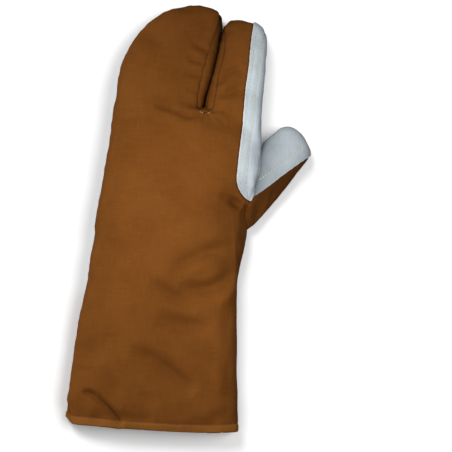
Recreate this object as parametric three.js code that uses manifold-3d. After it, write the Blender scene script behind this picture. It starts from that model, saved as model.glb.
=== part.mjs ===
// A bakers glove for the left hand, lying on its palm with the back of the hand up.
// It has one roomy pocket for three fingers, one finger for the index, and a thumb set into the palm.
// The back, the cuff, the finger gusset and the back of the thumb are padded brown canvas. The palm, the
// palm side of the thumb, and two patches sewn over the canvas at the index finger and thumb are pale
// split leather. Every wall is hollow inside, open at the cuff, as a hand would find it.
// Millimetres. X runs across the hand towards the thumb, Y towards the finger tips, Z up from the floor.

import * as THREE from "three";
import { mergeVertices } from "three/addons/utils/BufferGeometryUtils.js";
import Module from "manifold-3d";

const wasm = await Module();
wasm.setup();

// Walls and gaps
const WALL = 3;
const PATCH = 1.5;
const GAP = 0.3;

// Seams: the height of the side seam between back and palm, and of the gusset's widest line
const SEAM_HEIGHT = 10.5;
const GUSSET_HEIGHT = 13;

// The cuff's mouth runs at a slant: its little finger end lies further up the hand by RISE
const MOUTH = { y: -192, left: -110, right: 46.5, rise: 10 };
const HEM_DEPTH = 6;
const HEM_EXTRA = 0.6;
const MOUTH_CLEARANCE = 10;

// Under the hand the canvas of the back wraps round the thumb's side, up to a seam that runs from the
// mouth to the thumb. The leather ends at the wrist in a straight edge that rises a little to the left.
const SIDE_WRAP = 22;
const SIDE_SEAM = MOUTH.right - SIDE_WRAP;
const WRIST = { y: -73, rise: 3.5, across: 118 };
const wristAt = (x) => WRIST.y + (WRIST.rise * (SIDE_SEAM - x)) / WRIST.across;

// The thumb's own frame: where its axis starts under the palm, and its turn from Y towards X
const THUMB = { x: 37, y: -4.5, turn: 41 };

// Sections across the cuff, hand and three-finger pocket, from the mouth to the tip.
// left and right are the silhouette, top and under the heights above the floor. skew is how much
// further up the hand a section's left end lies.
const HAND = [
  { y: -192, left: -110, right: 46.5, skew: 10, under: 0, top: 34 },
  { y: -164, left: -106, right: 46.5, skew: 9, under: 0, top: 35 },
  { y: -137, left: -102.5, right: 46, skew: 7, under: 0, top: 36 },
  { y: -110, left: -99, right: 45.5, skew: 5.5, under: 0, top: 37 },
  { y: -83, left: -94.5, right: 45, skew: 3.5, under: 0, top: 38 },
  { y: -61, left: -89.5, right: 45.5, skew: 2, under: 0, top: 38.5 },
  { y: -43, left: -87.5, right: 47, skew: 0, under: 0, top: 40 },
  { y: -29, left: -85, right: 51.5, skew: 0, under: 0, top: 40 },
  { y: -16, left: -83, right: 55, skew: 0, under: 0, top: 41 },
  { y: -2, left: -81.5, right: 57, skew: 0, under: 0, top: 41 },
  { y: 16, left: -78.5, right: 57.5, skew: 0, under: 0, top: 41 },
  { y: 31, left: -75.5, right: 62, skew: 0, under: 0, top: 41 },
  { y: 47, left: -73, right: 65, skew: 0, under: 0, top: 40 },
  { y: 67, left: -69.5, right: 66.5, skew: 0, under: 0, top: 39 },
  { y: 84, left: -67, right: 66.5, skew: 0, under: 0, top: 38 },
  { y: 93, left: -66, right: 48.5, skew: 0, under: 0, top: 37.5 },
  { y: 99.5, left: -65, right: 20, skew: 0, under: 0, top: 37 },
  { y: 106, left: -63.5, right: 14, skew: 0, under: 0, top: 36.5 },
  { y: 118.5, left: -62, right: 18, skew: 0, under: 0, top: 36 },
  { y: 133, left: -59.5, right: 22.5, skew: 0, under: 0, top: 35 },
  { y: 147, left: -54, right: 25, skew: 0, under: 0, top: 34 },
  { y: 160, left: -47, right: 28, skew: 0, under: 0, top: 32 },
  { y: 169, left: -39.5, right: 30, skew: 0, under: 0.5, top: 30 },
  { y: 176, left: -33, right: 32.3, skew: 0, under: 1.5, top: 27.5 },
  { y: 181.5, left: -25, right: 31.8, skew: 0, under: 3, top: 25 },
  { y: 185, left: -19.5, right: 29.5, skew: 0, under: 4.5, top: 22.5 },
  { y: 187.5, left: -12.5, right: 25, skew: 0, under: 6, top: 20 },
  { y: 189.5, left: -4.5, right: 19, skew: 0, under: 7, top: 18 },
  { y: 191, left: 2, right: 13.5, skew: 0, under: 8, top: 15.5 },
];

// Sections of the index finger. The first two lie inside the hand.
const INDEX = [
  { y: 61, left: 26, right: 61, under: 0, top: 33 },
  { y: 79, left: 20, right: 65, under: 0, top: 35.5 },
  { y: 91.5, left: 17, right: 66.3, under: 0, top: 36 },
  { y: 104, left: 17.5, right: 67.3, under: 0, top: 35 },
  { y: 111, left: 20.5, right: 68, under: 0, top: 34 },
  { y: 125.5, left: 24, right: 69.2, under: 0, top: 33 },
  { y: 140, left: 28, right: 70.3, under: 0, top: 32 },
  { y: 154.5, left: 29.5, right: 71.2, under: 0, top: 30 },
  { y: 162, left: 31.5, right: 70.7, under: 0.5, top: 28.5 },
  { y: 167, left: 32.5, right: 69, under: 1.5, top: 27 },
  { y: 170.5, left: 33.5, right: 65.5, under: 2.5, top: 25 },
  { y: 173.5, left: 35.5, right: 59, under: 4, top: 23 },
  { y: 175.5, left: 37.5, right: 53, under: 5.5, top: 20.5 },
  { y: 177, left: 39.5, right: 48.5, under: 7, top: 18.5 },
  { y: 178, left: 41.5, right: 45.5, under: 8.5, top: 16.5 },
];

// Sections of the thumb in its own frame, y along its axis. The first two lie inside the hand.
const THUMB_SECTIONS = [
  { y: -24, left: -13, right: 13, under: 0, top: 22 },
  { y: 0, left: -20, right: 19.5, under: 0, top: 27 },
  { y: 22, left: -22.5, right: 20, under: 0, top: 28.5 },
  { y: 45, left: -22.5, right: 20, under: 0, top: 28.5 },
  { y: 67, left: -22, right: 19, under: 0, top: 27.5 },
  { y: 81, left: -21, right: 17.5, under: 0, top: 26 },
  { y: 90, left: -20, right: 16, under: 0.5, top: 24.5 },
  { y: 95.5, left: -18.5, right: 13, under: 2, top: 22.5 },
  { y: 99, left: -16.5, right: 9, under: 3.5, top: 20.5 },
  { y: 101.5, left: -13, right: 4, under: 5.5, top: 18 },
  { y: 102.5, left: -10, right: 0, under: 7.5, top: 16 },
];

// The gusset between pocket and index finger, as it shows on the back and, wider, on the palm
const BACK_SLOT = [
  { y: 100, centre: 17.5, half: 6 },
  { y: 117.5, centre: 20, half: 7 },
  { y: 135, centre: 24, half: 6.5 },
  { y: 150, centre: 27.8, half: 6 },
  { y: 163, centre: 31, half: 6 },
];
const PALM_SLOT = [
  { y: 98, centre: 17.5, half: 8 },
  { y: 117, centre: 20, half: 7.5 },
  { y: 140, centre: 25.5, half: 6.5 },
  { y: 160, centre: 30.3, half: 6 },
];

// Plan lines, as [x, y]. The line where the thumb leaves the side of the hand, from the crotch down,
// and its upper stretch, which the two patches share.
const THUMB_LINE = [
  [69, 66],
  [67.5, 54.5],
  [66.5, 43],
  [63, 31],
  [61, 19.5],
  [58, 11],
  [57, -7.5],
  [56, -15],
];
const THUMB_FOOT = THUMB_LINE.slice(0, 6);
// From the crotch on, the open space between thumb and index finger
const ABOVE_CROTCH = [
  [76, 90],
  [72, 78],
];
// The leaf of leather on the palm side of the thumb, from the crotch down the seam in the palm to the
// leaf's point at the side seam, and back up along the thumb's outer side, where the canvas wraps round
const LEAF_POINT = [SIDE_SEAM, -43];
const LEAF_INNER_SEAM = [
  [69, 66],
  [55, 58],
  [40, 46],
  [27, 27],
  [20, 8],
  [18, -10],
  [20, -28],
];
const LEAF_OUTER_SEAM = [
  [36, -30],
  [49, -13],
  [63, 2],
  [78, 19],
  [99.5, 46.5],
  [108, 62],
];
// The seam from the leaf's point round the side of the hand to where the thumb leaves it
const THUMB_FOLD = [
  [41, -38],
  [50, -28],
  [57, -16],
];
// The cut edge of the index patch on the back, from the tip to its rounded lower end. The line of the
// thumb closes it.
const INDEX_PATCH_EDGE = [
  [61, 176],
  [60, 169],
  [58.5, 161.5],
  [56, 133],
  [52, 107.5],
  [50.5, 84],
  [46.5, 55.5],
  [44.5, 35.5],
  [46, 28.5],
  [48.5, 21.5],
  [52.5, 15.5],
];
// The stitched edge of the thumb patch, from the hand to the thumb's tip
const THUMB_PATCH_EDGE = [
  [61.5, 18],
  [75, 28.5],
  [98.5, 45],
  [110, 52.5],
];

// Soft folds pressed into the back, each along a line from one point to another
const FOLDS = [
  { from: [-90, -156], to: [-61, -180], wide: 9, deep: 3 },
  { from: [-79, -19], to: [-92, -72], wide: 8, deep: 1.5 },
  { from: [-50, -70], to: [20, -84], wide: 16, deep: 1.5 },
  { from: [34, -47], to: [46, -58], wide: 9, deep: 3 },
  { from: [28, 20], to: [52, 17], wide: 9, deep: 2 },
  { from: [18, 106], to: [15, 78], wide: 9, deep: 4 },
  { from: [-24, 92], to: [6, 98], wide: 9, deep: 1.5 },
  { from: [34, 138], to: [46, 114], wide: 9, deep: 1.5 },
];

// How square each tube's section is, where 2 is an ellipse, how many sides its outer and its hidden
// inner surface have, and whether the folds reach it
const HAND_SHAPE = { squareness: 3, sides: 34, innerSides: 22, folded: true };
const INDEX_SHAPE = { squareness: 2.4, sides: 26, innerSides: 14, folded: true };
const THUMB_SHAPE = { squareness: 2.4, sides: 18, innerSides: 12, folded: false };
// The longest step between sections
const LONGEST_STEP = 16;
// The height of a section's widest line, as a share of its thickness
const WIDEST = 0.38;
// How far past the floor a section would bulge if the floor did not flatten it
const SAG = 1.3;

// Plan limits that lie clear of the whole glove
const FAR = 140;
const FAR_UP = 230;
const BELOW = -1;
const SKY = 60;

const canvas = () => new THREE.MeshStandardMaterial({ color: "#7c4a1f", roughness: 0.9, metalness: 0 });
const leather = () => new THREE.MeshStandardMaterial({ color: "#c5d0d6", roughness: 0.95, metalness: 0 });

// How far the folds press the back down at a place
function pressed(x, y) {
  const here = new THREE.Vector3(x, y);
  const nearest = new THREE.Vector3();
  let depth = 0;
  for (const { from, to, wide, deep } of FOLDS) {
    const line = new THREE.Line3(new THREE.Vector3(...from), new THREE.Vector3(...to));
    const distance = line.closestPointToPoint(here, true, nearest).distanceTo(here);
    depth += deep * Math.exp(-((distance / wide) ** 2));
  }
  return depth;
}

// The table's sections, with more between them wherever they lie far apart
function sections(rows) {
  const all = [rows[0]];
  for (let i = 1; i < rows.length; i++) {
    const [before, after] = [rows[i - 1], rows[i]];
    const steps = Math.ceil((after.y - before.y) / LONGEST_STEP);
    for (let step = 1; step <= steps; step++) {
      const mix = (key) => THREE.MathUtils.lerp(before[key], after[key], step / steps);
      all.push(Object.fromEntries(Object.keys(after).map((key) => [key, mix(key)])));
    }
  }
  return all;
}

// A section's closed ring of points. grow moves it outwards, or inwards where it is negative.
function ring(row, grow, reach, { sides, squareness, folded }) {
  const left = row.left - grow;
  const right = row.right + grow;
  const top = row.top + grow;
  const under = Math.max(row.under - grow, 0);
  const middle = (left + right) / 2;
  const half = (right - left) / 2;
  const widest = under + (top - under) * WIDEST;
  const power = 2 / squareness;
  const y = row.y > 0 ? row.y * reach : row.y;
  const points = [];
  for (let i = 0; i < sides; i++) {
    const angle = (2 * Math.PI * i) / sides;
    const across = Math.cos(angle);
    const lift = Math.abs(Math.sin(angle)) ** power;
    const x = middle + half * Math.sign(across) * Math.abs(across) ** power;
    const slanted = y + ((row.skew ?? 0) * (right - x)) / (right - left);
    const above = widest + (top - widest - (folded ? pressed(x, slanted) : 0)) * lift;
    const below = Math.max(under, widest - SAG * (widest - under) * lift);
    points.push(new THREE.Vector3(x, slanted, i <= sides / 2 ? above : below));
  }
  return points;
}

// A closed surface through rings of points, capped at both ends
function loft(rings) {
  const sides = rings[0].length;
  const points = rings.flat();
  const faces = [];
  for (let r = 0; r + 1 < rings.length; r++) {
    for (let i = 0; i < sides; i++) {
      const a = r * sides + i;
      const b = r * sides + ((i + 1) % sides);
      faces.push(a, a + sides, b, b, a + sides, b + sides);
    }
  }
  for (const r of [0, rings.length - 1]) {
    const centre = rings[r].reduce((sum, p) => sum.add(p), new THREE.Vector3()).divideScalar(sides);
    const hub = points.push(centre) - 1;
    for (let i = 0; i < sides; i++) {
      const a = r * sides + i;
      const b = r * sides + ((i + 1) % sides);
      faces.push(...(r === 0 ? [hub, a, b] : [hub, b, a]));
    }
  }
  return new THREE.BufferGeometry().setFromPoints(points).setIndex(faces);
}

// A geometry as a solid that can be joined and cut
function solid(geometry) {
  const bare = new THREE.BufferGeometry().setAttribute("position", geometry.getAttribute("position"));
  bare.setIndex(geometry.index);
  const merged = mergeVertices(bare, 1e-4);
  return new wasm.Manifold(
    new wasm.Mesh({
      numProp: 3,
      vertProperties: merged.attributes.position.array,
      triVerts: new Uint32Array(merged.index.array),
    }),
  );
}

// One padded tube of the glove, grown all round. Its tip reaches out as far as its sides do.
function tube(rows, grow, shape) {
  const tip = rows.at(-1).y;
  const reach = (tip + grow) / tip;
  const sides = grow < 0 ? shape.innerSides : shape.sides;
  return loft(sections(rows).map((row) => ring(row, grow, reach, { ...shape, sides })));
}

// The hand and cuff alone. extend lengthens it past the mouth.
function handTube(grow, extend) {
  const rows = extend ? [{ ...HAND[0], y: HAND[0].y - extend }, ...HAND] : HAND;
  return solid(tube(rows, grow, HAND_SHAPE));
}

// Hand, index finger and thumb joined, at a distance from the glove's own outer surface
function gloveForm(grow, extend = 0) {
  const thumb = tube(THUMB_SECTIONS, grow, THUMB_SHAPE);
  thumb.rotateZ(THREE.MathUtils.degToRad(-THUMB.turn)).translate(THUMB.x, THUMB.y, 0);
  return handTube(grow, extend).add(solid(tube(INDEX, grow, INDEX_SHAPE))).add(solid(thumb));
}

// A plan outline, anticlockwise, moved outwards by a distance
function widened(outline, by) {
  return outline.map(([x, y], i) => {
    const here = new THREE.Vector2(x, y);
    const before = new THREE.Vector2(...outline.at(i - 1));
    const after = new THREE.Vector2(...outline[(i + 1) % outline.length]);
    const arriving = here.clone().sub(before).normalize();
    const leaving = after.sub(here).normalize();
    const normal = new THREE.Vector2(arriving.y + leaving.y, -arriving.x - leaving.x);
    return here.addScaledVector(normal, (2 * by) / normal.lengthSq());
  });
}

// An upright block over a plan outline, its sides moved outwards by grow
function block(outline, low, high, grow) {
  const shape = new THREE.Shape(widened(outline, grow));
  const geometry = new THREE.ExtrudeGeometry(shape, { depth: high - low, bevelEnabled: false });
  return solid(geometry.translate(0, 0, low));
}

// The plan outline of a slot: its sides follow the rows and both ends are round
function slotOutline(rows) {
  const end = (row, start) =>
    [0.2, 0.4, 0.6, 0.8].map((share) => {
      const angle = start + Math.PI * share;
      return [row.centre + row.half * Math.cos(angle), row.y + row.half * Math.sin(angle)];
    });
  const up = rows.map((row) => [row.centre + row.half, row.y]);
  const down = rows.map((row) => [row.centre - row.half, row.y]).reverse();
  return [...up, ...end(rows.at(-1), 0), ...down, ...end(rows[0], Math.PI)];
}

// The regions that divide the wall into its sewn pieces, each a function of how far it is grown.
// They are cut out one after another, so a later one may reach over those before it.
function hemRegion(grow) {
  const slope = MOUTH.rise / (MOUTH.right - MOUTH.left);
  const seam = (x) => [x, MOUTH.y + HEM_DEPTH + slope * (MOUTH.right - x)];
  return block([[-FAR, -FAR_UP], [FAR, -FAR_UP], seam(FAR), seam(-FAR)], BELOW, SKY, grow);
}
function gussetRegion(grow) {
  const onBack = block(slotOutline(BACK_SLOT), GUSSET_HEIGHT, SKY, grow);
  return onBack.add(block(slotOutline(PALM_SLOT), BELOW, GUSSET_HEIGHT, grow));
}
function thumbPalmRegion(grow) {
  const tip = [[FAR, 80], [FAR, 100], [72, 100]];
  const leaf = [LEAF_POINT, ...LEAF_OUTER_SEAM, ...tip, ...LEAF_INNER_SEAM];
  return block(leaf, BELOW, SEAM_HEIGHT + grow, grow);
}
function thumbBackRegion(grow) {
  const beyondLine = block([[FAR, -15], [FAR, 100], [72, 100], ...THUMB_LINE], BELOW, SKY, grow);
  const alongLeaf = LEAF_OUTER_SEAM.slice(0, 3).toReversed();
  const wrapped = [LEAF_POINT, ...THUMB_FOLD, [75, -16], [75, 5], ...alongLeaf];
  return beyondLine.add(block(wrapped, BELOW, SEAM_HEIGHT + grow, grow));
}
function cuffRegion(grow) {
  const outline = [[-FAR, -FAR_UP], [SIDE_SEAM, -FAR_UP], [SIDE_SEAM, WRIST.y], [-FAR, wristAt(-FAR)]];
  return block(outline, BELOW, SEAM_HEIGHT + grow, grow);
}
function palmRegion(grow) {
  const upTheSeam = [[SIDE_SEAM, WRIST.y], LEAF_POINT, ...LEAF_INNER_SEAM.toReversed()];
  const outline = [...upTheSeam, [FAR, 66], [FAR, FAR_UP], [-FAR, FAR_UP], [-FAR, wristAt(-FAR)]];
  return block(outline, BELOW, SEAM_HEIGHT + grow, grow);
}

// The patches lie on the canvas. They meet along the line where the thumb leaves the hand.
function indexPatchRegion() {
  const clearOfThumb = [...THUMB_FOOT.toReversed(), ...ABOVE_CROTCH.toReversed()];
  const outline = [...INDEX_PATCH_EDGE, ...clearOfThumb, [76, FAR_UP], [61, FAR_UP]];
  return block(outline, SEAM_HEIGHT, SKY, -GAP / 2);
}
function thumbPatchRegion() {
  const clearOfIndex = [...ABOVE_CROTCH, ...THUMB_FOOT.slice(0, 5)];
  const outline = [...THUMB_PATCH_EDGE, [FAR, 60], [FAR, 90], ...clearOfIndex];
  return block(outline, SEAM_HEIGHT, SKY, -GAP / 2);
}

// The wall, less the hem's place, is cut up along its seams, with a gap at each
let uncut = gloveForm(0).subtract(gloveForm(-WALL, MOUTH_CLEARANCE)).subtract(hemRegion(GAP / 2));
function cutOut(region) {
  const piece = uncut.intersect(region(-GAP / 2));
  uncut = uncut.subtract(region(GAP / 2));
  return piece;
}
const gusset = cutOut(gussetRegion);
const thumbPalm = cutOut(thumbPalmRegion);
const thumbBack = cutOut(thumbBackRegion);
const cuffPalm = cutOut(cuffRegion);
const palm = cutOut(palmRegion);

const hemInside = handTube(-WALL - HEM_EXTRA, MOUTH_CLEARANCE);
const hem = handTube(HEM_EXTRA, 0).subtract(hemInside).intersect(hemRegion(-GAP / 2));
const patches = gloveForm(GAP + PATCH).subtract(gloveForm(GAP));

const glove = new THREE.Group();
function addPiece(name, made, material) {
  const { numProp, vertProperties, triVerts } = made.getMesh();
  const geometry = new THREE.BufferGeometry();
  geometry.setAttribute("position", new THREE.BufferAttribute(vertProperties, numProp));
  geometry.setIndex(new THREE.BufferAttribute(triVerts, 1));
  geometry.computeVertexNormals();
  const mesh = new THREE.Mesh(geometry, material);
  mesh.name = name;
  glove.add(mesh);
}
addPiece("back_panel", uncut, canvas());
addPiece("cuff_palm_panel", cuffPalm, canvas());
addPiece("cuff_hem", hem, canvas());
addPiece("finger_gusset", gusset, canvas());
addPiece("thumb_back", thumbBack, canvas());
addPiece("palm_panel", palm, leather());
addPiece("thumb_palm", thumbPalm, leather());
addPiece("index_side_patch", patches.intersect(indexPatchRegion()), leather());
addPiece("thumb_back_patch", patches.intersect(thumbPatchRegion()), leather());

export default glove;
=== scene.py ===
import bmesh
import bpy
import numpy as np
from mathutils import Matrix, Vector, noise
from mathutils.bvhtree import BVHTree
from mathutils.kdtree import KDTree


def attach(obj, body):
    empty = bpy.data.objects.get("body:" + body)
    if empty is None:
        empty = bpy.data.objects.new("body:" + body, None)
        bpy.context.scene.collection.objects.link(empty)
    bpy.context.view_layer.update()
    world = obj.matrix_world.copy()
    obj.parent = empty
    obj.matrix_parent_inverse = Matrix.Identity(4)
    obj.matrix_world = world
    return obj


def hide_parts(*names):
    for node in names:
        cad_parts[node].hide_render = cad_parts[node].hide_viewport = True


# The glove as cut and sewn
# Its nine sewn pieces are solid in the frame. Each is replaced below by a soft one of the same outline.
# Everything here is measured in millimetres and is turned to metres when a mesh is made.
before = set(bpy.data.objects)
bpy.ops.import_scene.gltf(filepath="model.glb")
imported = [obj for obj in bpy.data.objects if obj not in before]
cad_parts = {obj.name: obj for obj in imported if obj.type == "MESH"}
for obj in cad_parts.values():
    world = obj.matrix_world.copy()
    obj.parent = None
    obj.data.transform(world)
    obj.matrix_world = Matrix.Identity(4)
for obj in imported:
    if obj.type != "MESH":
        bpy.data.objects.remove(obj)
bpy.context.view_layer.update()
MM = 0.001


# The view
# The glove lies on a white table and is seen from straight above through a long lens, so that its
# outline is that of a flat pattern. A soft box hangs over its back, a weaker lamp stands up and to the left
# of it, and the table has lamps of its own, so that it stays white and takes only a light shadow.
VIEW_CENTRE = (36.0, -7.65)
VIEW_WIDTH = 406.8
LENS = 300.0
SENSOR = 36.0
OUTLINE_HEIGHT = 13.0

camera = bpy.data.objects.new("camera", bpy.data.cameras.new("camera"))
camera.data.lens = LENS
camera.data.sensor_width = SENSOR
camera.data.clip_end = 50
camera_height = OUTLINE_HEIGHT + VIEW_WIDTH * LENS / SENSOR
camera.location = Vector((*VIEW_CENTRE, camera_height)) * MM
bpy.context.scene.collection.objects.link(camera)
bpy.context.scene.camera = camera
bpy.context.scene.view_settings.view_transform = "Standard"


def linear(hex_colour, alpha=1.0):
    """An sRGB hex colour as the linear values that a shader takes."""
    parts = [int(hex_colour[i : i + 2], 16) / 255 for i in (1, 3, 5)]
    return (*[p / 12.92 if p <= 0.04045 else ((p + 0.055) / 1.055) ** 2.4 for p in parts], alpha)


def add_node(material, kind, settings=None, **inputs):
    """Adds a node to a material. settings are its own fields, and inputs are values or sockets to link."""
    made = material.node_tree.nodes.new(kind)
    for name, value in (settings or {}).items():
        setattr(made, name, value)
    for name, value in inputs.items():
        spot = int(name[1:]) if name[0] == "_" else name.replace("_", " ")
        socket = made.inputs[spot]
        if isinstance(value, bpy.types.NodeSocket):
            material.node_tree.links.new(value, socket)
        else:
            socket.default_value = value
    return made


def new_material(name):
    material = bpy.data.materials.new(name)
    material.use_nodes = True
    material.node_tree.nodes.clear()
    return material


table_paint = new_material("white_table_paint")
paint = add_node(table_paint, "ShaderNodeBsdfPrincipled", Base_Color=linear("#f4f4f4"), Roughness=0.9)
add_node(table_paint, "ShaderNodeOutputMaterial", Surface=paint.outputs[0])

TABLE_REACH = 6.0
TABLE_LEVEL = -0.0002
table_mesh = bpy.data.meshes.new("table_top")
corners = [(-1, -1), (1, -1), (1, 1), (-1, 1)]
table_points = [(TABLE_REACH * x, TABLE_REACH * y, TABLE_LEVEL) for x, y in corners]
table_mesh.from_pydata(table_points, [], [(0, 1, 2, 3)])
table_top = bpy.data.objects.new("table_top", table_mesh)
table_mesh.materials.append(table_paint)
glove_things = bpy.data.collections.new("glove_things")
table_things = bpy.data.collections.new("table_things")
bpy.context.scene.collection.children.link(glove_things)
bpy.context.scene.collection.children.link(table_things)
table_things.objects.link(table_top)
table_top.visible_diffuse = False


def lamp(name, kind, stands, energy, lit):
    """A lamp that lights one group of things. stands is the way from the glove to the lamp."""
    made = bpy.data.objects.new(name, bpy.data.lights.new(name, kind))
    made.data.energy = energy
    made.rotation_mode = "QUATERNION"
    made.rotation_quaternion = Vector(stands).to_track_quat("Z", "Y")
    made.light_linking.receiver_collection = lit
    made.visible_camera = False
    bpy.context.scene.collection.objects.link(made)
    return made


soft_box = lamp("soft_box", "AREA", (0, 0, 1), 0.61, glove_things)
soft_box.location = (0.01, -0.004, 0.29)
soft_box.data.size = 0.12
lamp("upper_lamp", "SUN", (-0.5, 0.62, 0.85), 0.74, glove_things).data.angle = 0.3
lamp("left_lamp", "SUN", (-1.0, 0.0, 0.15), 1.4, glove_things).data.angle = 0.3
lamp("table_top_lamp", "SUN", (0.0, 0.05, 1.0), 0.25, table_things).data.angle = 0.3
lamp("table_upper_lamp", "SUN", (-0.3, 0.66, 1.0), 1.6, table_things).data.angle = 0.4
lamp("table_right_lamp", "SUN", (0.68, 0.15, 1.0), 1.9, table_things).data.angle = 0.6

ROOM_LIGHT = 0.27
room = bpy.data.worlds.new("bright_room")
room.use_nodes = True
walls = room.node_tree.nodes["Background"].inputs
walls["Color"].default_value = (1, 1, 1, 1)
walls["Strength"].default_value = ROOM_LIGHT
bpy.context.scene.world = room


# The padded form
# Canvas, wadding and leather are sewn into one soft hollow form: a cuff and a pocket for three fingers,
# an index finger and a thumb. All the pieces of the glove are cut from its surface further down.
# Rows are y, left, right, slant, underside and top. The slant is how much further up its left end lies.
HAND = [
    (-202, -110, 46.5, 10, 0, 34), (-192, -110, 46.5, 10, 0, 34), (-164, -106, 46.5, 9, 0, 35),
    (-137, -102.5, 46, 7, 0, 36), (-110, -99, 45.9, 5.5, 0, 37), (-83, -94.5, 45.7, 3.5, 0, 38),
    (-61, -89.5, 46.1, 2, 0, 38.5), (-46, -87.8, 48, 0, 0, 40), (-29, -85, 52, 0, 0, 40),
    (-16, -83, 54.7, 0, 0, 41), (-2, -81.5, 56.5, 0, 0, 41), (16, -78.5, 57.5, 0, 0, 41),
    (31, -75.5, 62, 0, 0, 41), (47, -73, 65, 0, 0, 40), (67, -69.5, 66.5, 0, 0, 39),
    (84, -67, 66.5, 0, 0, 38), (90, -66.2, 66.3, 0, 0, 37.6), (95, -65.5, 42, 0, 0, 37.3),
    (99, -65, 14.6, 0, 0, 37),
    (106, -63.5, 15.6, 0, 0, 36.5), (118.5, -62, 19.4, 0, 0, 36), (133, -59.5, 23.7, 0, 0, 35),
    (147, -54, 26.9, 0, 0, 34), (160, -47, 29.3, 0, 0, 32), (169, -39.5, 31.2, 0, 0.5, 30),
    (176, -33, 32.6, 0, 1.5, 27.5), (181.5, -25, 31.8, 0, 3, 25), (185, -19.5, 29.5, 0, 4.5, 22.5),
    (187.5, -12.5, 25, 0, 6, 20), (189.5, -4.5, 19, 0, 7, 18), (191, 2, 13.5, 0, 8, 15.5),
]
INDEX = [
    (61, 26, 61, 0, 0, 33), (79, 20, 65, 0, 0, 35), (91.5, 17, 66.3, 0, 0, 36.6),
    (104, 18.4, 67.3, 0, 0, 35.8), (111, 20.3, 68, 0, 0, 34.3), (125.5, 24.5, 69.2, 0, 0, 33),
    (140, 28.3, 70.3, 0, 0, 32), (154.5, 31.5, 71.2, 0, 0, 30), (162, 33.2, 70.7, 0, 0.5, 28.5),
    (167, 34, 69, 0, 1.5, 27), (170.5, 34.8, 67, 0, 2.5, 25), (173.5, 36, 63, 0, 4, 23),
    (175.2, 37.4, 58.5, 0, 5.5, 20.5), (176.5, 39.2, 53, 0, 7, 18.5), (177.5, 41.5, 47.5, 0, 8.5, 16.5),
]
# The thumb's rows are in its own frame, which starts under the palm and is turned from Y towards X.
THUMB_START = (37, -4.5)
THUMB_TURN = np.radians(41)
THUMB = [
    (-24, -13, 9, 0, 0, 20), (0, -20, 16.5, 0, 0, 24), (14, -22, 19.5, 0, 0, 25), (26, -22.5, 20, 0, 0, 25),
    (45, -22.5, 20, 0, 0, 25), (67, -22, 19, 0, 0, 25), (81, -21, 18, 0, 0, 25),
    (90, -20, 17.6, 0, 0.5, 24), (95.5, -18.5, 15, 0, 2, 22.5), (99, -16.5, 10, 0, 3.5, 20.5),
    (101.5, -13, 4, 0, 5.5, 18), (102.5, -10, 0, 0, 7.5, 16),
]
# A side's squareness is 2 where it is round, and more where it is flat with tight corners. The cuff's thumb
# side is the squarest, and turns into the hand's between these two places along the glove.
POCKET_SIDE, HAND_SIDE, CUFF_SIDE = 2.7, 4.3, 9.0
INDEX_SIDES = (3.6, 6.0)
THUMB_SIDES = (2.4, 2.4)
CUFF_BLEND = (-72, -44)
# A section is widest at this share of its height, and is flattened by this much below.
WIDEST = 0.38
SAG = 1.3
ROW_STEP = 3
FORM_CELL = 1.3
SMOOTHING = 17


def fair_rows(rows, step):
    """The rows with more between them, on smooth curves that never pass a row's own values."""
    rows = np.array(rows, float)
    gap = np.diff(rows[:, 0])
    slope = np.diff(rows, axis=0) / gap[:, None]
    before, after = slope[:-1], slope[1:]
    total = np.where(before + after == 0, 1, before + after)
    mean = np.where(before * after > 0, 2 * before * after / total, 0)
    mean = np.vstack([slope[:1], mean, slope[-1:]])
    made = [rows[:1]]
    for i, long in enumerate(gap):
        t = (np.arange(1, int(np.ceil(long / step)) + 1) / np.ceil(long / step))[:, None]
        at_ends = (2 * t**3 - 3 * t**2 + 1) * rows[i] + (3 * t**2 - 2 * t**3) * rows[i + 1]
        made.append(at_ends + long * ((t**3 - 2 * t**2 + t) * mean[i] + (t**3 - t**2) * mean[i + 1]))
    return np.vstack(made)


def tube(rows, left_square, right_square, cuff_square=None, sides=160):
    """A closed tube through the rows: its points, and its faces. Each side has a squareness of its own."""
    angle = 2 * np.pi * np.arange(sides) / sides
    across, up = np.cos(angle), np.sin(angle)
    points = []
    for y, left, right, slant, under, top in fair_rows(rows, ROW_STEP):
        square = np.interp(y, CUFF_BLEND, (cuff_square or right_square, right_square))
        power = 2 / np.where(across < 0, left_square, square)
        lift = np.abs(up) ** power
        spread = np.sign(across) * np.abs(across) ** power
        x = (left + right) / 2 + (right - left) / 2 * spread
        lean = y + slant * (right - x) / (right - left)
        widest = under + (top - under) * WIDEST
        above = widest + (top - widest) * lift
        below = np.maximum(under, widest - SAG * (widest - under) * lift)
        points.append(np.column_stack([x, lean, np.where(up >= 0, above, below)]))
    count = len(points)
    points = np.vstack(points)
    faces = []
    for r in range(count - 1):
        for i in range(sides):
            a, b = r * sides + i, r * sides + (i + 1) % sides
            faces.append((a, b, b + sides, a + sides))
    faces.append(tuple(reversed(range(sides))))
    faces.append(tuple(range((count - 1) * sides, count * sides)))
    return points, faces


def new_object(name, points, faces):
    """A mesh object from points in millimetres."""
    mesh = bpy.data.meshes.new(name)
    mesh.from_pydata((np.asarray(points) * MM).tolist(), [], faces)
    mesh.update()
    made = bpy.data.objects.new(name, mesh)
    glove_things.objects.link(made)
    return made


def points_of(mesh):
    """A mesh's points, in millimetres."""
    flat = np.empty(len(mesh.vertices) * 3)
    mesh.vertices.foreach_get("co", flat)
    return flat.reshape(-1, 3) / MM


def move_points(mesh, points):
    mesh.vertices.foreach_set("co", (points * MM).ravel())
    mesh.update()


def normals_of(mesh):
    flat = np.empty(len(mesh.vertices) * 3)
    mesh.vertex_normals.foreach_get("vector", flat)
    return flat.reshape(-1, 3)


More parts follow.
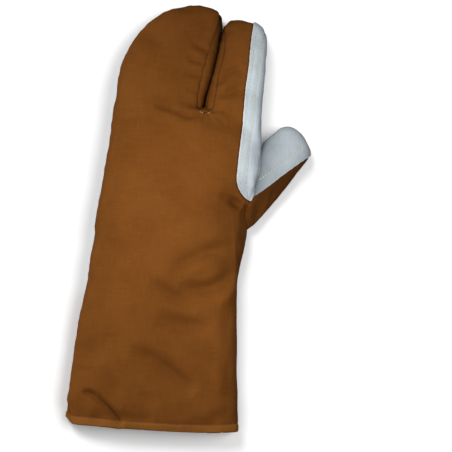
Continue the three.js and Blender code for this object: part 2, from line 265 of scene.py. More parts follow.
def edges_of(mesh):
    flat = np.empty(len(mesh.edges) * 2, int)
    mesh.edges.foreach_get("vertices", flat)
    return flat.reshape(-1, 2)


def evened(values, edges, share):
    """Values at points, each moved a share of the way to the mean of its neighbours."""
    count = len(values)
    total = np.zeros_like(values)
    np.add.at(total, edges[:, 0], values[edges[:, 1]])
    np.add.at(total, edges[:, 1], values[edges[:, 0]])
    near = np.bincount(edges.ravel(), minlength=count).astype(float)
    near = near if values.ndim == 1 else near[:, None]
    return values + share * (total / np.maximum(near, 1) - values)


def remeshed(source, cell):
    """An even mesh over the joined outside of the source's closed shells."""
    modifier = source.modifiers.new("even", "REMESH")
    modifier.mode = "VOXEL"
    modifier.voxel_size = cell * MM
    evaluated = source.evaluated_get(bpy.context.evaluated_depsgraph_get())
    mesh = bpy.data.meshes.new_from_object(evaluated)
    source.modifiers.remove(modifier)
    return mesh


def thumb_frame(points):
    """Points in the glove's frame, from points in the thumb's."""
    c, s = np.cos(THUMB_TURN), np.sin(THUMB_TURN)
    x = THUMB_START[0] + points[:, 0] * c + points[:, 1] * s
    y = THUMB_START[1] - points[:, 0] * s + points[:, 1] * c
    return np.column_stack([x, y, points[:, 2]])


shells = [tube(HAND, POCKET_SIDE, HAND_SIDE, CUFF_SIDE), tube(INDEX, *INDEX_SIDES), tube(THUMB, *THUMB_SIDES)]
shells[2] = (thumb_frame(shells[2][0]), shells[2][1])
start = np.cumsum([0] + [len(points) for points, _ in shells])
joined = new_object(
    "joined_tubes",
    np.vstack([points for points, _ in shells]),
    [tuple(i + int(first) for i in face) for first, (_, faces) in zip(start, shells) for face in faces],
)
form_mesh = remeshed(joined, FORM_CELL)
form = points_of(form_mesh)
form_edges = edges_of(form_mesh)
for _ in range(SMOOTHING):
    form = evened(evened(form, form_edges, 0.5), form_edges, -0.52)


# The seams
# Back and palm are joined along the sides by a turned seam. A gusset is let in between pocket and index
# finger, and a leaf of leather and a piece of canvas make the thumb. Plan lines are x and y. Each depth
# is how far inside its piece a point is, and is below 0 outside it.
SEAM_HEIGHT = 10.5
SIDE_SEAM = 24.5
HEM_DEPTH = 6
FAR = 140
GUSSET_ON_BACK = [
    (11.5, 99.5), (11.5, 108.9), (14.9, 128.3), (20.7, 148), (27.4, 166.8), (30.3, 175.5), (32.4, 186),
    (35.2, 186), (33.8, 175), (33, 169.5), (34.4, 164.3), (33.6, 148), (29.4, 131.9), (26, 111.2),
    (23.4, 99.5), (21, 96), (17.4, 94.6), (13.8, 96),
]
GUSSET_ON_PALM = [
    (9.5, 99), (10.5, 108), (12.6, 117), (18.8, 140), (24.4, 160), (28, 172), (30, 186), (38, 186),
    (37.4, 172), (36.4, 160), (32.2, 140), (27.6, 117), (26, 104), (25, 96), (21.6, 91.5), (17.5, 90),
    (13.4, 91.5), (10.6, 95),
]
THUMB_LINE = [(69, 66), (67.5, 54.5), (66.5, 43), (63, 31), (61, 19.5), (58, 11), (57, -7.5), (56, -15)]
LEAF_POINT = (SIDE_SEAM, -43)
LEAF_INNER_SEAM = [(69, 66), (55, 58), (40, 46), (27, 27), (20, 8), (18, -10), (20, -28), LEAF_POINT]
LEAF_OUTER_SEAM = [LEAF_POINT, (36, -30), (49, -13), (63, 2), (78, 19), (99.5, 46.5), (108, 62)]
THUMB_FOLD = [LEAF_POINT, (41, -38), (50, -28), (57, -16)]


def curve(points, step=2.0):
    """Points close together on a smooth curve through the given ones."""
    p = np.array(points, float)
    p = np.vstack([2 * p[0] - p[1], p, 2 * p[-1] - p[-2]])
    made = []
    for a, b, c, d in zip(p, p[1:], p[2:], p[3:]):
        steps = max(1, int(np.ceil(np.linalg.norm(c - b) / step)))
        t = (np.arange(steps) / steps)[:, None]
        bend = (2 * a - 5 * b + 4 * c - d) * t**2
        twist = (3 * b - a - 3 * c + d) * t**3
        made.append(0.5 * (2 * b + (c - a) * t + bend + twist))
    return np.vstack([*made, p[-2:-1]])


def from_line(points, line):
    """Distance from a line, in plan, with which side each point is on and how far along it is nearest."""
    xy = points[:, :2]
    line = np.array(line, float)[:, :2]
    best = np.full(len(xy), 1e9)
    side = np.zeros(len(xy))
    along = np.zeros(len(xy))
    done = 0.0
    for a, b in zip(line, line[1:]):
        step = b - a
        long = np.linalg.norm(step)
        share = np.clip(((xy - a) @ step) / long**2, 0, 1)
        off = xy - (a + share[:, None] * step)
        distance = np.linalg.norm(off, axis=1)
        nearer = distance < best
        best = np.where(nearer, distance, best)
        side = np.where(nearer, np.sign(step[0] * off[:, 1] - step[1] * off[:, 0]), side)
        along = np.where(nearer, done + share * long, along)
        done += long
    return best, side, along


def inside(points, outline):
    """How deep inside a closed plan outline each point is, and below 0 outside it."""
    outline = np.array(outline, float)
    ring = np.vstack([outline, outline[:1]])
    distance, _, _ = from_line(points, ring)
    x, y = points[:, 0], points[:, 1]
    odd = np.zeros(len(points), bool)
    for (ax, ay), (bx, by) in zip(ring, ring[1:]):
        if ay == by:
            continue
        odd ^= ((ay > y) != (by > y)) & (x < ax + (bx - ax) * (y - ay) / (by - ay))
    return np.where(odd, distance, -distance)


MOUTH = [
    (-125, -176), (-111, -177.5), (-105.5, -182), (-102, -184.4), (-84.6, -185.6), (-60, -187.8),
    (-41.4, -189.1), (-15, -190.8), (10.8, -191.7), (30, -191.9), (45, -191.3), (60, -190.6),
]


def past_mouth(points):
    """How far up the glove from the curved edge of the cuff's mouth."""
    edge = curve(MOUTH)
    return points[:, 1] - np.interp(points[:, 0], edge[:, 0], edge[:, 1])


def under_seam(points):
    """How far below the side seams, which are all at one height."""
    return SEAM_HEIGHT - points[:, 2]


def hem_depth(points):
    return HEM_DEPTH - past_mouth(points)


def gusset_depth(points):
    rise = np.clip((points[:, 2] - 8) / 10, 0, 1)
    return (1 - rise) * inside(points, GUSSET_ON_PALM) + rise * inside(points, GUSSET_ON_BACK)


def thumb_palm_depth(points):
    beyond = [(FAR, 80), (FAR, 100), (72, 100)]
    outline = np.vstack([curve(LEAF_OUTER_SEAM), beyond, curve(LEAF_INNER_SEAM)[:-1]])
    return np.minimum(inside(points, outline), under_seam(points))


def thumb_back_depth(points):
    beyond = inside(points, [(FAR, -15), (FAR, 100), (72, 100), *curve(THUMB_LINE)])
    wrapped = [*curve(THUMB_FOLD), (75, -16), (75, 5), *curve(LEAF_OUTER_SEAM[:4])[::-1][:-1]]
    return np.maximum(beyond, np.minimum(inside(points, wrapped), under_seam(points)))


def wrist_line(x):
    """Where the palm's leather ends across the wrist, a little askew."""
    return -73 + 3.5 * (SIDE_SEAM - x) / 118


def cuff_palm_depth(points):
    outline = [(-FAR, -230), (SIDE_SEAM, -230), (SIDE_SEAM, -73), (-FAR, wrist_line(-FAR))]
    return np.minimum(inside(points, outline), under_seam(points))


def palm_depth(points):
    seam = [(SIDE_SEAM, -73), *curve(LEAF_INNER_SEAM)[::-1]]
    outline = [*seam, (FAR, 66), (FAR, 230), (-FAR, 230), (-FAR, wrist_line(-FAR))]
    return np.minimum(inside(points, outline), under_seam(points))


# Swelling
# The wadding presses the cloth outwards between its seams, which hold it in, so each piece swells and
# puckers beside them. A coarse copy of the form is blown up as cloth, and its moves go to the fine one.
SWELL_CELL = 4.5
SWELL_CAP = 4.0
SWELL_FRAMES = 20
HELD_REACH = 4.0
HELD_SHARE = 0.25
HELD_MOUTH = -188
SWELL_NEIGHBOURS = 8
SWELL_EVENING = 15
SWELL_SIDEWAYS = 0.35
SETTLING = 0.07


def near_seams(points, reach):
    """1 on a seam, and falling to 0 at a distance of reach from it."""
    nearest = np.full(len(points), 1e9)
    for depth in (gusset_depth, thumb_palm_depth, thumb_back_depth, palm_depth):
        nearest = np.minimum(nearest, np.abs(depth(points)))
    side = np.abs(points[:, 2] - SEAM_HEIGHT)
    nearest = np.minimum(nearest, side)
    return np.clip(1 - nearest / reach, 0, 1)


def swell(points):
    """The move of each point as the wadding swells the cloth."""
    coarse = bpy.data.objects.new("coarse_form", remeshed(joined, SWELL_CELL))
    bpy.context.scene.collection.objects.link(coarse)
    before = points_of(coarse.data)
    group = coarse.vertex_groups.new(name="seams")
    held = near_seams(before, HELD_REACH)
    for i, weight in enumerate(held):
        group.add([i], 1.0 if weight > HELD_SHARE or before[i, 1] < HELD_MOUTH else 0.0, "REPLACE")
    modifier = coarse.modifiers.new("canvas", "CLOTH")
    canvas = modifier.settings
    canvas.quality = 6
    canvas.mass = 0.3
    canvas.tension_stiffness = 15
    canvas.compression_stiffness = 15
    canvas.shear_stiffness = 5
    canvas.bending_stiffness = 0.5
    canvas.air_damping = 4
    canvas.use_pressure = True
    canvas.uniform_pressure_force = 4
    canvas.shrink_min = -0.03
    canvas.vertex_group_mass = "seams"
    canvas.effector_weights.gravity = 0
    modifier.collision_settings.use_collision = False
    scene = bpy.context.scene
    scene.frame_start, scene.frame_end = 1, SWELL_FRAMES
    modifier.point_cache.frame_start, modifier.point_cache.frame_end = 1, SWELL_FRAMES
    for number in range(1, SWELL_FRAMES + 1):
        scene.frame_set(number)
    evaluated = coarse.evaluated_get(bpy.context.evaluated_depsgraph_get())
    blown = bpy.data.meshes.new_from_object(evaluated)
    after = points_of(blown)
    normals = normals_of(coarse.data)
    scene.frame_set(1)
    bpy.data.objects.remove(coarse)
    move = after - before
    length = np.linalg.norm(move, axis=1, keepdims=True)
    move *= np.minimum(1, SWELL_CAP / np.maximum(length, 1e-6))
    tree = KDTree(len(before))
    for i, p in enumerate(before):
        tree.insert(p, i)
    tree.balance()
    own = normals_of(form_mesh)
    result = np.zeros_like(points)
    for i, p in enumerate(points):
        total = 0.0
        for _, j, distance in tree.find_n(p, SWELL_NEIGHBOURS):
            weight = max(0.02, float(own[i] @ normals[j])) ** 2 / (distance + 1.0) ** 2
            result[i] += weight * move[j]
            total += weight
        result[i] /= total
    return result


move_points(form_mesh, form)
move = swell(form)
for _ in range(SWELL_EVENING):
    move = evened(move, form_edges, 0.6)
free = np.clip(-gusset_depth(form) / 10, 0, 1)
move[:, :2] *= SWELL_SIDEWAYS * free[:, None]
form[:, 2] *= 1 - SETTLING * np.clip((form[:, 2] - SEAM_HEIGHT) / 12, 0, 1)
form = form + move


# Folds
# Where the glove has been worn and pressed flat, soft folds and dents run across the cloth, and short ones
# run in from the gusset's seams. Each row is a plan line, its half width, its depth, and the height of the
# ridge beside it, which is below 0 for a ridge on the line's right side. A fold fades out at both ends.
FOLDS = [
    # Short ones run into the slit's left seam, and a long one passes under its root.
    ([(4, 156.5), (14, 152), (23, 148)], 2.8, 2.0, 0.5),
    ([(0, 144), (9, 140.5), (20, 137)], 2.8, 2.3, 0.5),
    ([(-2, 129.5), (7, 128.3), (18, 126.5)], 2.9, 2.0, 0.5),
    ([(0, 115), (8, 114), (15, 113)], 3.0, 1.5, 0.4),
    ([(-8, 107), (2, 103.5), (13, 99.5)], 2.8, 1.7, 0.4),
    ([(-29, 101), (-16, 97.5), (-6, 94), (4, 90.8), (15, 94)], 3.0, 2.8, -1.0),
    # Others cross the index finger and run away from the slit's root.
    ([(27, 118), (34, 125), (42, 131.5), (52, 135)], 3.0, 2.0, -1.0),
    ([(28, 106), (36, 110), (44, 113.5), (52, 116.5)], 3.0, 1.3, -0.5),
    ([(30, 163), (37, 166.5), (46, 169)], 3.0, 1.4, 0),
    ([(23, 98), (30, 96), (38, 94)], 1.6, 1.0, 0.3),
    ([(24, 93), (30, 88), (36, 81)], 2.0, 0.6, 0.3),
    ([(51, 94), (50, 78), (48, 60)], 9.0, -1.6, 0),
    # A dent lies beside the end of the leather strip, and faint ones cross the hand.
    ([(29, 20.5), (37.5, 17), (46, 11.5), (53, 7)], 3.6, 3.2, 0),
    ([(38, 16.5), (45, 12.5), (51, 9)], 4.2, 4.6, 0),
    ([(22, 38.5), (32, 36), (42, 32)], 3.4, 1.0, 0.5),
    ([(-52, 25), (-25, 22), (0, 20.5)], 2.6, 0.9, 0.5),
    # At the wrist broad folds fan out from the thumb side, with a bright ridge between them.
    ([(-14, -47), (-2, -41), (10, -34.5), (24, -30), (36, -28)], 6.8, 4.4, -0.8),
    ([(49, -46), (39, -52), (29.5, -59), (19, -63), (4, -63), (-6, -60)], 7.4, 6.8, 0),
    ([(4, -51), (16, -50.5), (28, -49)], 5.0, 2.0, 0),
    ([(52, -55), (45, -63), (37, -72), (28, -80)], 5.5, -3.3, 0),
    ([(6, -10), (17, -24), (24, -36)], 8.0, 1.6, 0),
    ([(-34, -61), (-20, -65), (-6, -73), (11, -83)], 6.6, 4.2, 0.6),
    ([(-26, -89), (-6, -95.5), (12, -97), (27, -93.5)], 8.5, 5.8, 0),
    # The cuff has a long slack fold, a sharp one at the mouth and shallow ones around them.
    ([(-50, -119), (-38, -122), (-24, -129), (-9, -140), (9, -158)], 7.0, 4.3, 0.8),
    ([(-24, -130), (-8, -144), (8, -158)], 7.5, 1.8, 0),
    ([(27, -128), (32, -142), (32, -160)], 8.0, -2.8, 0),
    ([(-78, -134), (-68, -143), (-56, -160)], 4.5, 1.6, 0.4),
    ([(-100, -136), (-88, -136.5), (-72, -134)], 2.5, 0.8, 0.4),
    ([(-101, -110), (-90, -118), (-82, -122)], 7.0, 1.6, 0),
    ([(-42, -155), (-34, -162), (-24, -168)], 5.0, 1.8, 0.5),
    ([(-54, -166), (-42, -174), (-28, -180)], 5.0, 1.6, 0),
    ([(-94, -156), (-84, -158.5), (-73.5, -166.5), (-65, -175.5), (-56.5, -187)], 3.1, 5.0, 0),
    ([(-62, -177), (-46, -180), (-28, -181.5)], 4.0, 2.2, 0),
    ([(-101, -178), (-90, -171), (-76, -181)], 6.0, -1.2, 0),
    # Ridges and creases follow the thumb side, the thumb and the outer edge.
    ([(38, -66), (40.5, -84), (42, -120), (42.5, -160), (42.5, -184)], 4.0, -1.3, 0),
    ([(43.2, -6), (43.4, -24), (45.4, -42)], 1.2, -0.5, 0),
    ([(76, 27), (74, 18), (70.5, 7)], 1.8, -1.2, 0),
    ([(-56, 96), (-61, 68), (-66, 48)], 2.4, 0.9, 0),
    ([(-64, 6), (-69, -15), (-77, -31), (-88, -62)], 2.6, 1.1, 0),
]
# Beside the thumb the back rolls over early into a steep side wall, and rises again to the thumb's seam.
# The hand tilts down towards it, and along the whole of this edge the back is lower than at its middle.
WALL_TOP = (44.2, 31.0)
WALL_SLOPE = 1.5
WALL_FOOT = 57
WALL_FOOT_SHIFT = 3
WALL_RISE = 1.3
WALL_SEAM = 57.3
WALL_SEAM_FALL = 0.95
WALL_CLEARANCE = 40
WALL_ROUNDING = 1.1
TILT = 0.10
ROLL_START = 29
ROLL_DROP = 2.8
# At the mouth's left corner the upper layer has slipped in, and the corner of the lower one shows.
SLIP = 7.0
# The thumb lies rolled over, so its canvas back falls away steeply from the edge of its leather.
THUMB_FALL = 0.6
THUMB_RIDGE = [(50, 11), (58, 15.5), (75, 27.5), (98.5, 44), (118, 57)]


def fold(points):
    """How far the folds lower or lift each point."""
    lift = np.zeros(len(points))
    for line, wide, deep, ridge in FOLDS:
        path = curve(line)
        long = np.linalg.norm(np.diff(path, axis=0), axis=1).sum()
        distance, side, along = from_line(points, path)
        taper = min(long / 2, 3 * wide)
        fade = np.sin(np.pi / 2 * np.clip(np.minimum(along, long - along) / taper, 0, 1))
        lift -= fade * deep * np.exp(-((distance / wide) ** 2))
        signed = distance * side * np.sign(ridge)
        lift += fade * abs(ridge) * np.exp(-(((signed - 2.2 * wide) / (1.5 * wide)) ** 2))
    return lift


def step_up(values, low, high):
    """0 below low and 1 above high, with a smooth step between."""
    t = np.clip((values - low) / (high - low), 0, 1)
    return t * t * (3 - 2 * t)


def wall_span(points):
    """1 along the side wall between the cuff and the thumb, and 0 past its ends."""
    return step_up(points[:, 1], -58, -44) * (1 - step_up(points[:, 1], 4, 24))


def cut_to_wall(points):
    """How far each point of the upper side is lowered to lie on the side wall."""
    x, y, _ = points.T
    foot = WALL_FOOT - WALL_FOOT_SHIFT * step_up(y, -12, 3)
    rise = WALL_RISE * np.maximum(x - foot, 0) - WALL_SEAM_FALL * np.maximum(x - WALL_SEAM, 0)
    wall = WALL_TOP[1] - WALL_SLOPE * (np.minimum(x, foot) - WALL_TOP[0]) + rise
    wall += WALL_CLEARANCE * (1 - wall_span(points)) ** 2
    over = points[:, 2] - wall
    share = np.clip(0.5 + over / (2 * WALL_ROUNDING), 0, 1)
    return share * over + WALL_ROUNDING * share * (1 - share)


def rolled_edge(points):
    """How far the back is lowered along the thumb side."""
    x, y, z = points.T
    over = x + 6
    tilt = 0.5 * (over + np.sqrt(over**2 + 80)) * step_up(y, -62, -38) * (1 - step_up(y, 5, 45))
    roll = step_up(x, ROLL_START, 48) * (1 - step_up(y, 20, 60)) * (1 - wall_span(points))
    down = (TILT * tilt + ROLL_DROP * roll) * (1 - step_up(x, 55, 60))
    distance, side, _ = from_line(points, curve(THUMB_RIDGE))
    rolled = THUMB_FALL * np.clip(-distance * side, 0, 15) * step_up(x, 56, 66)
    return down * step_up(z, 4, 38) + rolled * step_up(z, 5, 24)


def waves(points, size, seed):
    """Smooth noise at the points, with waves of about the given size."""
    shift = Vector((seed * 17.3, seed * 5.1, seed * 9.7))
    return np.array([noise.noise(Vector(p) / size + shift) for p in points])


top_side = np.clip((form[:, 2] - SEAM_HEIGHT) / 12, 0, 1)
low_side = np.clip((SEAM_HEIGHT - form[:, 2]) / 6, 0, 1)
plan = form * (1, 1, 0)
unevenness = 0.8 * waves(plan, 42, 1) + 0.5 * waves(plan, 17, 2)
form[:, 2] += top_side * (fold(form) + unevenness - rolled_edge(form))
form[:, 2] -= cut_to_wall(form)
corner = (1 - step_up(form[:, 1], -184, -160)) * (1 - step_up(form[:, 0], -106, -84))
form[:, 0] += SLIP * corner * step_up(form[:, 2], 7, 12)
form[:, 2] += low_side * np.maximum(0, 1.1 * waves(form * (1, 1, 0), 30, 3) - 0.1)


# The slit
# The pocket and the index finger lie against each other below, and the slit between them opens upwards. It
# leans a little, so that the index finger's side of the gusset is hidden and the pocket's side shows.
SLIT_LINE = [
    (13.4, 90), (15.1, 97), (16.8, 104), (18.7, 111), (23, 125.5), (26.8, 140), (30, 154.5), (31.4, 162),
    (32.4, 167), (33.2, 170.5), (34, 174), (35.5, 184),
]
SLIT_WIDTH = 0.15
SLIT_CLOSING = 1.5
SLIT_LEAN = 0.4
distance, _, _ = from_line(form, curve(SLIT_LINE))
centre = np.interp(form[:, 1], *np.array(curve(SLIT_LINE)).T[::-1])
closing = SLIT_CLOSING * (1 - step_up(form[:, 2], 19, 31)) * (1 - step_up(distance, 3, 11))
in_reach = step_up(form[:, 1], 96, 103) * (1 - step_up(form[:, 1], 168, 180))
nearer = np.minimum(closing * in_reach, np.maximum(distance - SLIT_WIDTH / 2, 0))
form[:, 0] -= nearer * np.sign(form[:, 0] - centre)
low = (1 - step_up(form[:, 2], 8, 24)) * (1 - step_up(form[:, 1], 140, 168))
form[:, 0] += SLIT_LEAN * low * (1 - step_up(distance, 3, 11)) * in_reach
move_points(form_mesh, form)


# Cutting the pieces
# The form's surface is cut along every seam line, and each face goes to the piece that it belongs to.
# The two patches lie over the canvas, so their faces are marked apart from that.
CUTS = [
    ("cuff_hem", hem_depth),
    ("finger_gusset", gusset_depth),
    ("thumb_palm", thumb_palm_depth),
    ("thumb_back", thumb_back_depth),
    ("cuff_palm_panel", cuff_palm_depth),
    ("palm_panel", palm_depth),
]
NAMES = ["back_panel"] + [name for name, _ in CUTS]
INDEX_PATCH_EDGE = [
    (61, 182), (60.4, 172), (59.6, 166), (58.5, 160), (57.2, 147), (56, 133), (54, 120), (52.5, 107.5),
    (51.7, 96), (50.8, 84), (48.9, 69), (47.2, 55.5), (45.8, 42), (45.1, 35.5), (45.4, 32), (46.5, 27),
    (49.5, 21.3), (53.1, 16.6), (56, 14.9), (58.9, 13.9),
]
THUMB_PATCH_EDGE = [(58, 16.5), (61.5, 18.6), (75, 28.8), (86, 37.6), (98.5, 47), (112, 56.5)]
ABOVE_CROTCH = [(76, 90), (72, 78)]
CUT_AWAY = 90
SNAP = 0.12


def index_patch_depth(points):
    thumb_side = [p for p in [*curve(THUMB_LINE[:6])[::-1], *ABOVE_CROTCH[::-1]] if p[1] > 14]
    outline = [*curve(INDEX_PATCH_EDGE)[:-1], *thumb_side, (78, 230), (61, 230)]
    return np.minimum(inside(points, outline), -under_seam(points))


def thumb_patch_depth(points):
    outline = [*curve(THUMB_PATCH_EDGE), (FAR, 62), (FAR, 90), *ABOVE_CROTCH, *curve(THUMB_LINE[:5])]
    return np.minimum(inside(points, outline), -under_seam(points))


def split_face(face, value):
    """Splits a face that a seam crosses, from one seam point to another, until none is crossed."""
    waiting = [face]
    while waiting:
        here = waiting.pop()
        heights = [v[value] for v in here.verts]
        if not (min(heights) < 0 < max(heights)):
            continue
        seam = [v for v in here.verts if v[value] == 0]
        beside = {v: {e.other_vert(v) for e in v.link_edges if here in e.link_faces} for v in seam}
        pairs = [(a, b) for i, a in enumerate(seam) for b in seam[i + 1 :] if b not in beside[a]]
        if not pairs:
            continue
        made, _ = bmesh.utils.face_split(here, *pairs[0])
        for layer in cloth.faces.layers.int.values():
            made[layer] = here[layer]
        waiting += [here, made]


def cut_out(depth, number, owner):
    """Cuts the faces that no piece owns yet along depth 0, and gives those inside to this one."""
    value = cloth.verts.layers.float["depth"]
    depths = depth(np.array([v.co for v in cloth.verts]) / MM)
    depths[np.abs(depths) < SNAP] = 0
    for v, d in zip(cloth.verts, depths):
        v[value] = d
    for edge in [e for e in cloth.edges if e.verts[0][value] * e.verts[1][value] < 0]:
        if all(f[owner] for f in edge.link_faces):
            continue
        a, b = edge.verts
        share = a[value] / (a[value] - b[value])
        _, made = bmesh.utils.edge_split(edge, a, share)
        made[value] = 0
    for face in [f for f in cloth.faces if not f[owner]]:
        split_face(face, value)
    for face in cloth.faces:
        if not face[owner] and sum(v[value] for v in face.verts) > 0:
            face[owner] = number


cloth = bmesh.new()
cloth.from_mesh(form_mesh)
cloth.verts.layers.float.new("depth")
cloth.faces.layers.int.new("piece")
cloth.faces.layers.int.new("patch")
owner = cloth.faces.layers.int["piece"]
patch = cloth.faces.layers.int["patch"]
cut_out(lambda points: -past_mouth(points), CUT_AWAY, owner)
bmesh.ops.delete(cloth, geom=[f for f in cloth.faces if f[owner] == CUT_AWAY], context="FACES")
for number, (name, depth) in enumerate(CUTS, 1):
    cut_out(depth, number, owner)
cut_out(index_patch_depth, 1, patch)
cut_out(thumb_patch_depth, 2, patch)
cloth.verts.index_update()
cut_mesh = bpy.data.meshes.new("cut_form")
cloth.to_mesh(cut_mesh)
sewn_edges, wrist_edges, hem_edges = [], [], []
for edge in cloth.edges:
    owners = {NAMES[f[owner]] for f in edge.link_faces}
    if len(owners) < 2:
        continue
    kind = hem_edges if "cuff_hem" in owners else sewn_edges
    if owners == {"cuff_palm_panel", "palm_panel"}:
        kind = wrist_edges
    kind.append((edge.verts[0].index, edge.verts[1].index))
cloth.faces.ensure_lookup_table()
face_points = [[v.index for v in f.verts] for f in cloth.faces]
face_owner = np.array([f[owner] for f in cloth.faces])
face_patch = np.array([f[patch] for f in cloth.faces])
cloth.free()


# Seam grooves
# At each turned seam both cloths roll down into a narrow groove, and small puckers run away from it.
# The leather lies over the canvas at the wrist, and the doubled hem stands a little proud of it.
GROOVES = ((0.7, 0.9), (0.9, 3.4))
PUCKER_HEIGHT = 0.8
PUCKER_SIZE = 6.0
PUCKER_REACH = 25
HEM_GROOVE = 0.25
ROOT = (18.3, 96)
ROOT_RAY = 1.1
TABLE_TOUCH = 0.02


def nearest_on(points, edges, source):
    """Distance from each point to the nearest of some edges, and the place on them that is nearest."""
    ends = np.array(edges)
    a, b = source[ends[:, 0]], source[ends[:, 1]]
    on_seam = np.vstack([a, b, (a + b) / 2])
    tree = KDTree(len(on_seam))
    for i, p in enumerate(on_seam):
        tree.insert(p, i)
    tree.balance()
    found = [tree.find(p) for p in points]
    return np.array([f[2] for f in found]), np.array([f[0] for f in found])


def unit(vectors):
    return vectors / np.maximum(np.linalg.norm(vectors, axis=1, keepdims=True), 1e-9)


def soft_normals_of(mesh, edges, turns):
    made = normals_of(mesh)
    for _ in range(turns):
        made = evened(made, edges, 0.7)
    return unit(made)


surface = points_of(cut_mesh)
surface_edges = edges_of(cut_mesh)
soft_normals = soft_normals_of(cut_mesh, surface_edges, 6)
sewn_gap, sewn_place = nearest_on(surface, sewn_edges, surface)
at_root = from_line(surface, curve(THUMB_LINE[-4:]))[0]
raised = np.exp(-((at_root / 4) ** 2)) * step_up(surface[:, 2], 9, 14)
raised *= step_up(surface[:, 1], -11, -2) * (1 - step_up(surface[:, 1], 10, 16))
wrist_gap, _ = nearest_on(surface, wrist_edges, surface)
hem_gap, _ = nearest_on(surface, hem_edges, surface)
push = np.zeros(len(surface))
for deep, wide in GROOVES:
    push -= deep * np.exp(-((sewn_gap / wide) ** 2)) * (1 - raised)
push += 0.5 * raised * np.exp(-((sewn_gap / 1.3) ** 2))
close = sewn_gap < PUCKER_REACH
pucker = np.zeros(len(surface))
pucker[close] = waves(sewn_place[close], PUCKER_SIZE, 4)
push += PUCKER_HEIGHT * pucker * np.exp(-((sewn_gap / 8) ** 2)) * (1 - np.exp(-((sewn_gap / 2) ** 2)))
push -= HEM_GROOVE * np.exp(-((hem_gap / 1.2) ** 2))
from_root = surface[:, :2] - ROOT
root_gap = np.linalg.norm(from_root, axis=1)
rays = np.abs(np.cos(3.5 * np.arctan2(from_root[:, 1], from_root[:, 0]) + 0.6)) ** 6
push -= np.where(surface[:, 2] > 16, ROOT_RAY * rays * np.exp(-(((root_gap - 5) / 5) ** 2)), 0)
surface = surface + soft_normals * push[:, None]
surface[:, 2] = np.maximum(surface[:, 2], TABLE_TOUCH)
move_points(cut_mesh, surface)
normals = normals_of(cut_mesh)
soft_normals = soft_normals_of(cut_mesh, surface_edges, 10)

# Thread directions
# The weave runs across and along each piece, and both of its threads turn down the piece's sides.
lean = np.maximum(np.linalg.norm(soft_normals[:, :2], axis=1), 1e-6)
turned = (36 - surface[:, 2]) * (1 - np.abs(soft_normals[:, 2])) / lean**2
thread = surface[:, :2] + turned[:, None] * soft_normals[:, :2]
c, s = np.cos(THUMB_TURN), np.sin(THUMB_TURN)
thumb_thread = np.column_stack([thread[:, 0] * c - thread[:, 1] * s, thread[:, 0] * s + thread[:, 1] * c])


# Grime and painted shade
# Use has darkened the seams. Shade is painted in the folds, deep in the slit, in the crook of the thumb and
# on the side wall by it, and a painted shadow on the cloth beside the leather's edges. Each value runs from 0
# for clean to 1 for the darkest.
at_seams = 0.3 * (1 - np.clip(sewn_gap / 1.0, 0, 1)) * (1 - raised)
# Painted shade deep in the slit, reaching higher on the pocket's side.
on_index = from_line(surface, curve(SLIT_LINE))[1] < 0
slit_painted_shade = 1 - np.where(on_index, step_up(surface[:, 2], 12, 24), step_up(surface[:, 2], 18, 31))
# Painted shade towards the crook of the thumb.
crook_painted_shade = 1 - np.clip(from_line(surface, curve(THUMB_LINE))[0] / 24, 0, 1)
# Painted shade on the side wall by the thumb, and a lighter painted shade across the back towards it.
wall_edge = 43.6 - 3 * step_up(surface[:, 1], -8, 6)
wall_painted_shade = 0.3 * step_up(surface[:, 0] - wall_edge, 0, 2) * (1 - 0.6 * step_up(surface[:, 1], -24, -4))
wall_painted_shade = wall_span(surface) * (wall_painted_shade + 0.16 * step_up(surface[:, 0], 8, 38))
# Painted shade in the folds.
upper = surface[:, 2] > 12
fold_painted_shade = np.zeros(len(surface))
fold_painted_shade[upper] = 0.12 * np.clip(-fold(surface[upper]) / 4, 0, 1)
# Painted shadow on the canvas beside the raw edges of the two patches.
strip_edge_painted_shadow = 0.7 * (1 - np.clip(from_line(surface, curve(INDEX_PATCH_EDGE))[0] / 1.5, 0, 1))
thumb_patch_edge_painted_shadow = 0.7 * (1 - np.clip(from_line(surface, curve(THUMB_PATCH_EDGE))[0] / 1.5, 0, 1))


# Back panel
# One piece of brown cotton canvas over wadding covers the back of the hand, the pocket for three fingers,
# the index finger and the cuff. Its edges are turned in and sewn, and it wraps round the cuff's thumb side.
CANVAS_WALL = 3.0
# The real thread is 0.5 mm. It is drawn twice as coarse, so that the weave shows.
CANVAS_THREAD = 1.0
SLUB_LENGTH = 15.0
# A mix of colours takes its two colours at 6 and 7, and gives the mixed one at 2.
MIX_COLOURS = {"data_type": "RGBA"}


